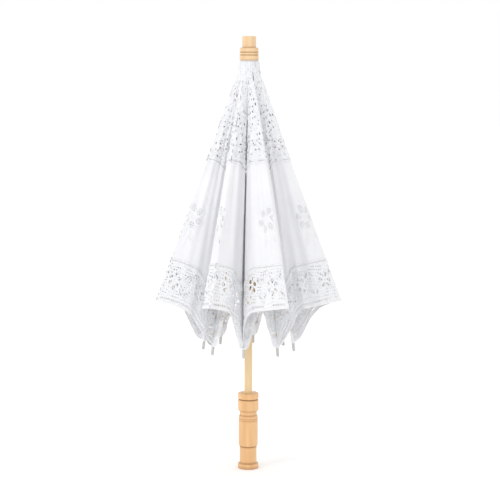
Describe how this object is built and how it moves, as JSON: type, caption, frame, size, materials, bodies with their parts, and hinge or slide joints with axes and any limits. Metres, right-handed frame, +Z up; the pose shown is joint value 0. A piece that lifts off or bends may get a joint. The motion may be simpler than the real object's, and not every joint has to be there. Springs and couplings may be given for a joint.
{
  "type": "lace parasol",
  "caption": "Closed folding parasol: lace-trimmed white cotton canopy on hinged wooden ribs, with a sliding runner, a straight shaft and a turned wooden handle.",
  "frame": {"origin": "centre of the handle's flat end face, on the shaft's axis", "axes": "+Z up the shaft towards the finial; -Y towards the rib that faces the viewer"},
  "size_m": [0.281, 0.281, 0.66],
  "materials": {
    "handle_wood": "satin",
    "finial_wood": "satin",
    "shaft_wood": "satin",
    "frame_wood": "satin",
    "rib_wood": "matte",
    "canopy_cotton": "matte",
    "wire": "satin",
    "spring_steel": "satin",
    "cap_metal": "satin"
  },
  "bodies": {
    "stick": {"handle": "handle_wood", "shaft": "shaft_wood", "finial": "finial_wood", "rosette": "canopy_cotton", "crown": "frame_wood", "crown_pins": "wire", "stop_pin": "wire", "catch_pin": "wire"},
    "runner": {"runner": "frame_wood", "runner_pins": "wire"},
    "catch": {"catch_leaf": "spring_steel"},
    "rib_1": {"rib_1": "rib_wood", "rib_cap_1": "cap_metal", "pivot_pin_1": "wire"},
    "stretcher_1": {"stretcher_1": "rib_wood"},
    "rib_2": {"rib_2": "rib_wood", "rib_cap_2": "cap_metal", "pivot_pin_2": "wire"},
    "stretcher_2": {"stretcher_2": "rib_wood"},
    "rib_3": {"rib_3": "rib_wood", "rib_cap_3": "cap_metal", "pivot_pin_3": "wire"},
    "stretcher_3": {"stretcher_3": "rib_wood"},
    "rib_4": {"rib_4": "rib_wood", "rib_cap_4": "cap_metal", "pivot_pin_4": "wire"},
    "stretcher_4": {"stretcher_4": "rib_wood"},
    "rib_5": {"rib_5": "rib_wood", "rib_cap_5": "cap_metal", "pivot_pin_5": "wire"},
    "stretcher_5": {"stretcher_5": "rib_wood"},
    "rib_6": {"rib_6": "rib_wood", "rib_cap_6": "cap_metal", "pivot_pin_6": "wire"},
    "stretcher_6": {"stretcher_6": "rib_wood"},
    "rib_7": {"rib_7": "rib_wood", "rib_cap_7": "cap_metal", "pivot_pin_7": "wire"},
    "stretcher_7": {"stretcher_7": "rib_wood"},
    "rib_8": {"rib_8": "rib_wood", "rib_cap_8": "cap_metal", "pivot_pin_8": "wire"},
    "stretcher_8": {"stretcher_8": "rib_wood"},
    "panel_1a": {"panel_1a": "canopy_cotton"},
    "panel_1b": {"panel_1b": "canopy_cotton"},
    "panel_2a": {"panel_2a": "canopy_cotton"},
    "panel_2b": {"panel_2b": "canopy_cotton"},
    "panel_3a": {"panel_3a": "canopy_cotton"},
    "panel_3b": {"panel_3b": "canopy_cotton"},
    "panel_4a": {"panel_4a": "canopy_cotton"},
    "panel_4b": {"panel_4b": "canopy_cotton"},
    "panel_5a": {"panel_5a": "canopy_cotton"},
    "panel_5b": {"panel_5b": "canopy_cotton"},
    "panel_6a": {"panel_6a": "canopy_cotton"},
    "panel_6b": {"panel_6b": "canopy_cotton"},
    "panel_7a": {"panel_7a": "canopy_cotton"},
    "panel_7b": {"panel_7b": "canopy_cotton"},
    "panel_8a": {"panel_8a": "canopy_cotton"},
    "panel_8b": {"panel_8b": "canopy_cotton"}
  },
  "joints": [
    {"name": "runner_slide", "type": "slide", "parent": "stick", "child": "runner", "axis": [0, 0, 1], "range_m": [0, 0.22316]},
    {"name": "catch_press", "type": "hinge", "parent": "stick", "child": "catch", "pos_m": [0.00333, 0.00138, 0.43985], "axis": [0.3827, -0.9239, 0], "range_deg": [0, 3.2], "stiffness_Nm_per_rad": 0.05, "springref_deg": -5.73},
    {"name": "rib_1_hinge", "type": "hinge", "parent": "stick", "child": "rib_1", "pos_m": [0, -0.0105, 0.618], "axis": [-1, 0, 0], "range_deg": [0, 62.25]},
    {"name": "stretcher_1_pivot", "type": "hinge", "parent": "rib_1", "child": "stretcher_1", "pos_m": [0, -0.03384, 0.44759], "axis": [1, 0, 0], "range_deg": [0, 124.45]},
    {"name": "rib_2_hinge", "type": "hinge", "parent": "stick", "child": "rib_2", "pos_m": [0.00742, -0.00742, 0.618], "axis": [-0.7071, -0.7071, 0], "range_deg": [0, 62.25]},
    {"name": "stretcher_2_pivot", "type": "hinge", "parent": "rib_2", "child": "stretcher_2", "pos_m": [0.02393, -0.02393, 0.44759], "axis": [0.7071, 0.7071, 0], "range_deg": [0, 124.45]},
    {"name": "rib_3_hinge", "type": "hinge", "parent": "stick", "child": "rib_3", "pos_m": [0.0105, 0, 0.618], "axis": [0, -1, 0], "range_deg": [0, 62.25]},
    {"name": "stretcher_3_pivot", "type": "hinge", "parent": "rib_3", "child": "stretcher_3", "pos_m": [0.03384, 0, 0.44759], "axis": [0, 1, 0], "range_deg": [0, 124.45]},
    {"name": "rib_4_hinge", "type": "hinge", "parent": "stick", "child": "rib_4", "pos_m": [0.00742, 0.00742, 0.618], "axis": [0.7071, -0.7071, 0], "range_deg": [0, 62.25]},
    {"name": "stretcher_4_pivot", "type": "hinge", "parent": "rib_4", "child": "stretcher_4", "pos_m": [0.02393, 0.02393, 0.44759], "axis": [-0.7071, 0.7071, 0], "range_deg": [0, 124.45]},
    {"name": "rib_5_hinge", "type": "hinge", "parent": "stick", "child": "rib_5", "pos_m": [0, 0.0105, 0.618], "axis": [1, 0, 0], "range_deg": [0, 62.25]},
    {"name": "stretcher_5_pivot", "type": "hinge", "parent": "rib_5", "child": "stretcher_5", "pos_m": [0, 0.03384, 0.44759], "axis": [-1, 0, 0], "range_deg": [0, 124.45]},
    {"name": "rib_6_hinge", "type": "hinge", "parent": "stick", "child": "rib_6", "pos_m": [-0.00742, 0.00742, 0.618], "axis": [0.7071, 0.7071, 0], "range_deg": [0, 62.25]},
    {"name": "stretcher_6_pivot", "type": "hinge", "parent": "rib_6", "child": "stretcher_6", "pos_m": [-0.02393, 0.02393, 0.44759], "axis": [-0.7071, -0.7071, 0], "range_deg": [0, 124.45]},
    {"name": "rib_7_hinge", "type": "hinge", "parent": "stick", "child": "rib_7", "pos_m": [-0.0105, 0, 0.618], "axis": [0, 1, 0], "range_deg": [0, 62.25]},
    {"name": "stretcher_7_pivot", "type": "hinge", "parent": "rib_7", "child": "stretcher_7", "pos_m": [-0.03384, 0, 0.44759], "axis": [0, -1, 0], "range_deg": [0, 124.45]},
    {"name": "rib_8_hinge", "type": "hinge", "parent": "stick", "child": "rib_8", "pos_m": [-0.00742, -0.00742, 0.618], "axis": [-0.7071, 0.7071, 0], "range_deg": [0, 62.25]},
    {"name": "stretcher_8_pivot", "type": "hinge", "parent": "rib_8", "child": "stretcher_8", "pos_m": [-0.02393, -0.02393, 0.44759], "axis": [0.7071, -0.7071, 0], "range_deg": [0, 124.45]},
    {"name": "panel_1a_fold", "type": "hinge", "parent": "rib_1", "child": "panel_1a", "pos_m": [0.00435, -0.0105, 0.618], "axis": [-0.0969, 0.0248, 0.995], "range_deg": [0, 64.78]},
    {"name": "panel_1b_fold", "type": "hinge", "parent": "rib_2", "child": "panel_1b", "pos_m": [0.00435, -0.0105, 0.618], "axis": [0.0333, -0.0895, -0.9954], "range_deg": [0, 77.21]},
    {"name": "panel_2a_fold", "type": "hinge", "parent": "rib_2", "child": "panel_2a", "pos_m": [0.0105, -0.00435, 0.618], "axis": [-0.086, -0.051, 0.995], "range_deg": [0, 64.78]},
    {"name": "panel_2b_fold", "type": "hinge", "parent": "rib_3", "child": "panel_2b", "pos_m": [0.0105, -0.00435, 0.618], "axis": [0.0869, -0.0397, -0.9954], "range_deg": [0, 77.21]},
    {"name": "panel_3a_fold", "type": "hinge", "parent": "rib_3", "child": "panel_3a", "pos_m": [0.0105, 0.00435, 0.618], "axis": [-0.0248, -0.0969, 0.995], "range_deg": [0, 64.78]},
    {"name": "panel_3b_fold", "type": "hinge", "parent": "rib_4", "child": "panel_3b", "pos_m": [0.0105, 0.00435, 0.618], "axis": [0.0895, 0.0333, -0.9954], "range_deg": [0, 77.21]},
    {"name": "panel_4a_fold", "type": "hinge", "parent": "rib_4", "child": "panel_4a", "pos_m": [0.00435, 0.0105, 0.618], "axis": [0.051, -0.086, 0.995], "range_deg": [0, 64.78]},
    {"name": "panel_4b_fold", "type": "hinge", "parent": "rib_5", "child": "panel_4b", "pos_m": [0.00435, 0.0105, 0.618], "axis": [0.0397, 0.0869, -0.9954], "range_deg": [0, 77.21]},
    {"name": "panel_5a_fold", "type": "hinge", "parent": "rib_5", "child": "panel_5a", "pos_m": [-0.00435, 0.0105, 0.618], "axis": [0.0969, -0.0248, 0.995], "range_deg": [0, 64.78]},
    {"name": "panel_5b_fold", "type": "hinge", "parent": "rib_6", "child": "panel_5b", "pos_m": [-0.00435, 0.0105, 0.618], "axis": [-0.0333, 0.0895, -0.9954], "range_deg": [0, 77.21]},
    {"name": "panel_6a_fold", "type": "hinge", "parent": "rib_6", "child": "panel_6a", "pos_m": [-0.0105, 0.00435, 0.618], "axis": [0.086, 0.051, 0.995], "range_deg": [0, 64.78]},
    {"name": "panel_6b_fold", "type": "hinge", "parent": "rib_7", "child": "panel_6b", "pos_m": [-0.0105, 0.00435, 0.618], "axis": [-0.0869, 0.0397, -0.9954], "range_deg": [0, 77.21]},
    {"name": "panel_7a_fold", "type": "hinge", "parent": "rib_7", "child": "panel_7a", "pos_m": [-0.0105, -0.00435, 0.618], "axis": [0.0248, 0.0969, 0.995], "range_deg": [0, 64.78]},
    {"name": "panel_7b_fold", "type": "hinge", "parent": "rib_8", "child": "panel_7b", "pos_m": [-0.0105, -0.00435, 0.618], "axis": [-0.0895, -0.0333, -0.9954], "range_deg": [0, 77.21]},
    {"name": "panel_8a_fold", "type": "hinge", "parent": "rib_8", "child": "panel_8a", "pos_m": [-0.00435, -0.0105, 0.618], "axis": [-0.051, 0.086, 0.995], "range_deg": [0, 64.78]},
    {"name": "panel_8b_fold", "type": "hinge", "parent": "rib_1", "child": "panel_8b", "pos_m": [-0.00435, -0.0105, 0.618], "axis": [-0.0397, -0.0869, -0.9954], "range_deg": [0, 77.21]}
  ],
  "couplings": [
    {"joint": "rib_1_hinge", "follows": "runner_slide", "rad_per_m": 4.8646},
    {"joint": "stretcher_1_pivot", "follows": "runner_slide", "rad_per_m": 9.7292},
    {"joint": "rib_2_hinge", "follows": "runner_slide", "rad_per_m": 4.8646},
    {"joint": "stretcher_2_pivot", "follows": "runner_slide", "rad_per_m": 9.7292},
    {"joint": "rib_3_hinge", "follows": "runner_slide", "rad_per_m": 4.8646},
    {"joint": "stretcher_3_pivot", "follows": "runner_slide", "rad_per_m": 9.7292},
    {"joint": "rib_4_hinge", "follows": "runner_slide", "rad_per_m": 4.8646},
    {"joint": "stretcher_4_pivot", "follows": "runner_slide", "rad_per_m": 9.7292},
    {"joint": "rib_5_hinge", "follows": "runner_slide", "rad_per_m": 4.8646},
    {"joint": "stretcher_5_pivot", "follows": "runner_slide", "rad_per_m": 9.7292},
    {"joint": "rib_6_hinge", "follows": "runner_slide", "rad_per_m": 4.8646},
    {"joint": "stretcher_6_pivot", "follows": "runner_slide", "rad_per_m": 9.7292},
    {"joint": "rib_7_hinge", "follows": "runner_slide", "rad_per_m": 4.8646},
    {"joint": "stretcher_7_pivot", "follows": "runner_slide", "rad_per_m": 9.7292},
    {"joint": "rib_8_hinge", "follows": "runner_slide", "rad_per_m": 4.8646},
    {"joint": "stretcher_8_pivot", "follows": "runner_slide", "rad_per_m": 9.7292},
    {"joint": "panel_1a_fold", "follows": "runner_slide", "rad_per_m": 5.0622},
    {"joint": "panel_1b_fold", "follows": "runner_slide", "rad_per_m": 6.0348},
    {"joint": "panel_2a_fold", "follows": "runner_slide", "rad_per_m": 5.0622},
    {"joint": "panel_2b_fold", "follows": "runner_slide", "rad_per_m": 6.0348},
    {"joint": "panel_3a_fold", "follows": "runner_slide", "rad_per_m": 5.0622},
    {"joint": "panel_3b_fold", "follows": "runner_slide", "rad_per_m": 6.0348},
    {"joint": "panel_4a_fold", "follows": "runner_slide", "rad_per_m": 5.0622},
    {"joint": "panel_4b_fold", "follows": "runner_slide", "rad_per_m": 6.0348},
    {"joint": "panel_5a_fold", "follows": "runner_slide", "rad_per_m": 5.0622},
    {"joint": "panel_5b_fold", "follows": "runner_slide", "rad_per_m": 6.0348},
    {"joint": "panel_6a_fold", "follows": "runner_slide", "rad_per_m": 5.0622},
    {"joint": "panel_6b_fold", "follows": "runner_slide", "rad_per_m": 6.0348},
    {"joint": "panel_7a_fold", "follows": "runner_slide", "rad_per_m": 5.0622},
    {"joint": "panel_7b_fold", "follows": "runner_slide", "rad_per_m": 6.0348},
    {"joint": "panel_8a_fold", "follows": "runner_slide", "rad_per_m": 5.0622},
    {"joint": "panel_8b_fold", "follows": "runner_slide", "rad_per_m": 6.0348}
  ]
}
